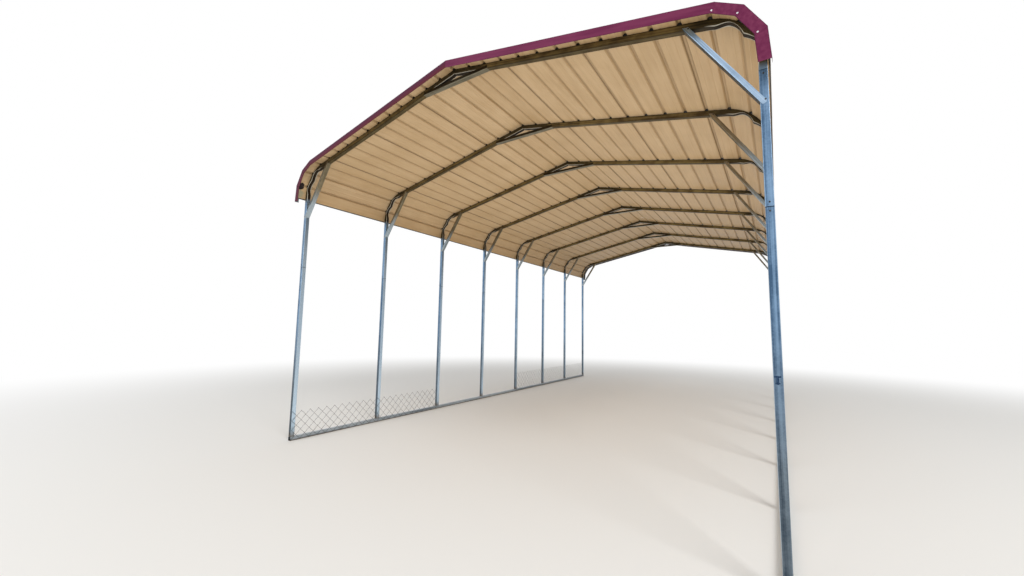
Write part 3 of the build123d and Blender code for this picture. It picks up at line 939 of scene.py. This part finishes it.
def roof_screws():
    """Screws through the sheets into each bow, in the pan beside each rib."""
    heads = []
    for place in bow_places:
        for number in range(-last_rib, last_rib + 1):
            run = number * rib_pitch + (screw_run if number >= 0 else -screw_run)
            if abs(run) > eave_run - screw_edge:
                continue
            x, z = roof_point(run, seam + sheet)
            above_x, above_z = roof_point(run, seam + sheet + 1)
            heads.append(screw(Vector((x, place, z)), Vector((above_x - x, 0, above_z - z))))
    make_piece("roof_screws", heads, [painted_screw], crease=25)


def trim_screws():
    """A screw through each lap of the gable trim's face. On the left they are painted to match."""
    for side, way, finish in (("left", -1, painted_trim), ("right", 1, bright_screw)):
        heads = []
        for out in (-1, 1):
            for facet in range(1, trim_parts):
                corner = trim_corners(trim_top - 0.75 * trim_depth)[facet]
                place = Vector((way * corner.x, out * (trim_face - (facet - 1) * trim_wall), corner.y))
                heads.append(screw(place, out * y_way))
        make_piece(f"trim_screws_{side}", heads, [finish], crease=25)


def frame_screws():
    """Screws at the splices and feet of the posts and through the ends of the knee braces."""
    heads = []
    for place in bow_places:
        for sign in (-1, 1):
            for front in (-1, 1):
                face = place + front * tube / 2
                # Above the rail, either side of the splice, and below the bow
                for height in (rail_top + 0.04, post_splice - 0.03, post_splice + 0.035, post_top - 0.03):
                    heads.append(screw(Vector((sign * post_x, face, height)), front * y_way))
                flange = place + front * brace_half
                for along, deep in ((-0.008, 0.036), (knee_length - 0.018, 0.030)):
                    x = post_face - along * cos(knee_rise) + deep * sin(knee_rise)
                    z = knee_foot_z + along * sin(knee_rise) + deep * cos(knee_rise)
                    heads.append(screw(Vector((sign * x, flange, z)), front * y_way))
    make_piece("frame_screws", heads, [screw_painted_shade], crease=25)


def bent_wire(points, radius, sides, shift):
    """Round wire along a run of points."""
    skin = []
    for index, point in enumerate(points):
        way = (points[min(index + 1, len(points) - 1)] - points[max(index - 1, 0)]).normalized()
        across = way.cross(Vector((0.3, 0.9, 0.2))).normalized()
        over = way.cross(across)
        turns = [2 * pi * turn / sides for turn in range(sides)]
        skin += [point + (across * cos(t) + over * sin(t)) * radius for t in turns]
    faces = round_faces(len(points), sides) + [tuple(range(len(skin) - sides, len(skin)))]
    return skin, faces, [], skin, shift


def mesh_strips():
    """Low strips of woven diamond mesh along the left side, on the inner faces of the posts. Each upright
    wire zigzags, and hooks round the next one at its corners, which are rounded over 8 mm."""
    half = mesh_pitch / 2
    x = mesh_wire * 1.2 - post_face
    for bay, turns in mesh_rows.items():
        start = bow_places[bay - 1] - tube / 2 + mesh_slack
        end = bow_places[bay] - tube / 2 - mesh_slack
        wires = []
        for number in range(int((end - start) / half)):
            y = start + half * (number + 0.5)
            points = []
            for turn in range(turns + 1):
                side = 1 if (turn + number) % 2 else -1
                weave = mesh_wire * 0.55 * side
                for up, out, reach in ((-0.004, -weave, -0.002), (0, weave, 0.0008), (0.004, -weave, -0.002)):
                    z = mesh_foot + half * turn + up
                    points.append(Vector((x + out, y + side * (half / 2 + reach), z)))
            wires.append(bent_wire(points, mesh_wire / 2, 5, number * 0.37))
        make_piece(f"diamond_mesh_{bay}", wires, [mesh_zinc], crease=60)


def post_clip():
    """A flat steel clip on the front of the front right post, tee-shaped with a barbed end."""
    half = [(0.021, 0), (0.021, -0.012), (0.0085, -0.012), (0.0085, -0.046), (0.015, -0.046), (0.015, -0.052)]
    outline = [*half, (0, -0.060), *[(-x, z) for x, z in half[::-1]]]
    face = bow_places[0] - tube / 2
    count = len(outline)
    points = [
        Vector((post_x - clip_left + x, y, clip_top + z))
        for y in (face - clip_thick, face + clip_sunk)
        for x, z in outline
    ]
    faces = round_faces(2, count) + [tuple(range(count, 2 * count))]
    make_piece("post_clip", [(points, faces, [], points, 0)], [clip_steel], crease=20)


def mud_lump():
    """A lump of mud, as wasps build, stuck inside the front left corner of the roof."""
    rings, sides = 14, 26
    out_x, out_z = roof_point(mud_run, seam)
    in_x, in_z = roof_point(mud_run, seam - 1)
    place = Vector((out_x, mud_place, out_z))
    out = Vector((in_x - out_x, 0, in_z - out_z))
    along = out.cross(y_way)
    points = []
    for ring in range(rings):
        rise = pi / 2 * ring / rings
        for turn in range(sides):
            angle = 2 * pi * turn / sides
            way = along * (cos(rise) * cos(angle)) + y_way * (cos(rise) * sin(angle)) + out * sin(rise)
            # Large lumps, and smaller ones on them
            rough = 1 + 0.30 * noise.noise(way * 2.2) + 0.14 * noise.noise(way * 7)
            flat = along * (mud_wide * cos(rise) * cos(angle)) + y_way * (mud_long * cos(rise) * sin(angle))
            points.append(place + flat * rough + out * (mud_high * sin(rise) * rough - 0.003 * (ring == 0)))
    points.append(place + out * mud_high)
    top, tip = (rings - 1) * sides, rings * sides
    faces = round_faces(rings, sides)
    faces += [(top + turn, top + (turn + 1) % sides, tip) for turn in range(sides)]
    make_piece("mud_lump", [(points, faces, [], points, 0)], [dried_mud], crease=60)


def seen_rays(tree):
    """One for the rays that show a background: straight from the camera, or by way of gloss or glass."""
    path = add(tree, "LightPath").outputs
    seen = add(tree, "Math", {0: path["Is Camera Ray"], 1: path["Is Glossy Ray"]}, operation="MAXIMUM")
    return add(tree, "Math", {0: seen, 1: path["Is Transmission Ray"]}, operation="MAXIMUM")


def stage_floor():
    """A plain pale floor under the object, that turns to the white of the background some way off."""
    finish, tree, shader, _ = finish_named("pale_floor")
    connect(tree, shader, {"Base Color": linear("#E9E8E5"), "Roughness": 0.9})
    place = add(tree, "TexCoord").outputs["Object"]
    distance = add(tree, "VectorMath", {0: place}, operation="LENGTH")
    far = add(tree, "MapRange", {0: distance, 1: 7, 2: 17}, interpolation_type="SMOOTHSTEP")
    far = add(tree, "Math", {0: far, 1: seen_rays(tree)}, operation="MULTIPLY")
    white = add(tree, "Emission", {"Strength": 1})
    mixed = add(tree, "MixShader", {0: far, 1: shader, 2: white})
    connect(tree, tree.nodes["Material Output"], {"Surface": mixed})
    mesh = bpy.data.meshes.new("floor")
    built = bmesh.new()
    bmesh.ops.create_circle(built, cap_ends=True, segments=96, radius=400)
    built.to_mesh(mesh)
    built.free()
    mesh.materials.append(finish)
    floor = bpy.data.objects.new("floor", mesh)
    floor.location.z = -0.001
    bpy.context.scene.collection.objects.link(floor)


def studio_world():
    """White behind the object, and a plain soft light from all round."""
    world = bpy.data.worlds.new("studio")
    world.use_nodes = True
    tree = world.node_tree
    light = tree.nodes["Background"]
    connect(tree, light, {"Color": (1, 1, 1, 1), "Strength": 0.65})
    white = add(tree, "Background", {"Color": (1, 1, 1, 1), "Strength": 1})
    mixed = add(tree, "MixShader", {0: seen_rays(tree), 1: light, 2: white})
    connect(tree, tree.nodes["World Output"], {"Surface": mixed})
    bpy.context.scene.world = world


def lamp(name, place, target, wide, high, watts):
    """A soft flat lamp turned towards a point."""
    data = bpy.data.lights.new(name, "AREA")
    data.shape = "RECTANGLE"
    data.size, data.size_y = wide, high
    data.energy = watts
    obj = bpy.data.objects.new(name, data)
    obj.location = place
    obj.rotation_euler = (Vector(target) - Vector(place)).to_track_quat("-Z", "Y").to_euler()
    obj.visible_camera = False
    bpy.context.scene.collection.objects.link(obj)


def camera():
    """The camera at the photograph's place, turned left, up and over by those angles in radians."""
    place = Vector((3.0286, -8.5827, 1.6989))
    turn, rise, tilt = 0.5871, 0.1008, 0.0174
    ahead = Vector((-sin(turn) * cos(rise), cos(turn) * cos(rise), sin(rise)))
    level = Vector((cos(turn), sin(turn), 0))
    upright = level.cross(ahead)
    right = level * cos(tilt) + upright * sin(tilt)
    up = upright * cos(tilt) - level * sin(tilt)
    data = bpy.data.cameras.new("camera")
    data.lens = 14.008
    data.sensor_width = 36
    data.clip_end = 1000
    obj = bpy.data.objects.new("camera", data)
    obj.matrix_world = Matrix.Translation(place) @ Matrix((right, up, -ahead)).transposed().to_4x4()
    bpy.context.scene.collection.objects.link(obj)
    bpy.context.scene.camera = obj


# The posts' upper shades are bluer as painted reflection of the sky, and their inner sides get painted
# sunlight
post_tube = tube_finish(
    "galvanised_post_tube", ("#3E4A56", "#7A8894"), ("#415A74", "#7F9CBA"), ("Z", 0.05, 0.14),
    seams=(post_splice, post_top), painted_sun_share=0.8,
)
# The rail's pale shades are in part painted reflection of the sky on its top
rail_tube = tube_finish(
    "galvanised_rail_tube", ("#757D84", "#B4BBC0"), ("#757D84", "#B4BBC0"), ("Y", -0.022, -0.008),
)
weathered_tube = weathered_tube_finish()
# The front right knee brace carries painted sky reflection, the other knee braces painted shade and roof
# reflection
brace_painted_sky = channel_finish("galvanised_channel", ("#3A464F", "#5F6E7A"), ("#7E95AD", "#ABC2D9"))
brace_painted_shade = channel_finish("knee_brace_painted_shade", ("#514937", "#7C725D"), ("#696150", "#9C937F"), 0.36)
# The peak braces' flanges are near black as painted shade and painted reflection of the roof
ridge_brace = channel_finish("peak_brace_painted_shade", ("#5E5845", "#958E7A"), ("#28231A", "#484132"))
painted_sheet = painted_sheet_finish("painted_sheet")
sheet_underside = painted_sheet_finish("sheet_underside", dirt_and_shade=True)
painted_trim = painted_trim_finish()
trim_reverse = wash_coat_finish()
bright_screw = zinc_plated_finish("bright_screw", "#C8CACC", "#EDEEF0")
# The frame screws are dark zinc as painted shade
screw_painted_shade = zinc_plated_finish("screw_painted_shade", "#2B2B2A", "#5A5A58")
painted_screw = zinc_plated_finish("roof_screw", "#9A8D78", "#C4B79F")
mesh_zinc = zinc_plated_finish("mesh_wire", "#2E2822", "#57504A")
clip_steel = zinc_plated_finish("clip_steel", "#24344C", "#3C526E")
dried_mud = dried_mud_finish()

base_rails()
posts()
bows()
knee_braces()
peak_braces()
roof_sheets()
gable_trims()
roof_screws()
trim_screws()
frame_screws()
mesh_strips()
post_clip()
mud_lump()

stage_floor()
studio_world()
lamp("key", (14, -12, 12), (0, 0, 2), 7, 7, 1800)
lamp("fill", (-5, -17, 7), (0, 0, 2), 8, 8, 600)
lamp("bounce", (0, -3, 0.03), (0, -3, 4), 5, 8, 112)
camera()

bpy.context.scene.view_settings.view_transform = "Standard"
